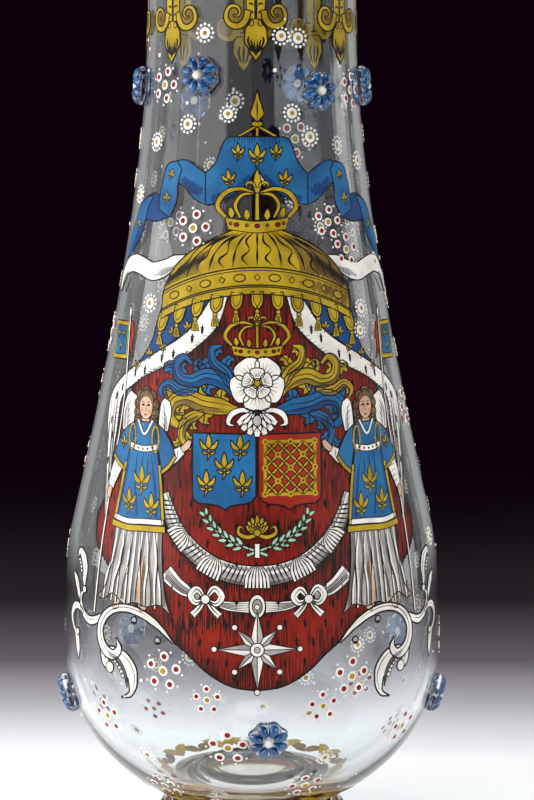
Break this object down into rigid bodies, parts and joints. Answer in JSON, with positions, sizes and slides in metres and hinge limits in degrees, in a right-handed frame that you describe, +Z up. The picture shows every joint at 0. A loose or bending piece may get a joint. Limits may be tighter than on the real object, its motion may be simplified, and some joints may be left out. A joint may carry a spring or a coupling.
{
  "type": "enamelled glass carafe",
  "caption": "Tall club-shaped clear glass carafe with a flared open mouth, pushed-up base, spreading foot ring and girdles of applied glass rosettes.",
  "frame": {"origin": "on the table, under the middle of the foot ring", "axes": "+Z up along the carafe's axis of turning, the painted front towards -Y"},
  "size_m": [0.1376, 0.1351, 0.338],
  "materials": {
    "clear_glass": "blown, clear, gloss",
    "foot_glass": "clear glass covered with gold and amber stain, gloss",
    "rosette_glass": "pressed clear glass with blue enamelled petals, gloss",
    "gold_enamel": "fired enamel, satin gloss",
    "red_enamel": "fired enamel, satin gloss",
    "blue_enamel": "fired enamel, satin gloss",
    "white_enamel": "fired enamel, satin gloss",
    "black_enamel": "fired enamel line, satin gloss",
    "green_enamel": "fired enamel, satin gloss",
    "flesh_enamel": "fired enamel, satin gloss"
  },
  "bodies": {
    "root": {"vessel": "clear_glass", "foot_ring": "foot_glass", "neck_prunt_1": "rosette_glass", "neck_prunt_2": "rosette_glass", "neck_prunt_3": "rosette_glass", "neck_prunt_4": "rosette_glass", "neck_prunt_5": "rosette_glass", "neck_prunt_6": "rosette_glass", "belly_prunt_1": "rosette_glass", "belly_prunt_2": "rosette_glass", "belly_prunt_3": "rosette_glass", "belly_prunt_4": "rosette_glass", "belly_prunt_5": "rosette_glass"}
  },
  "joints": []
}
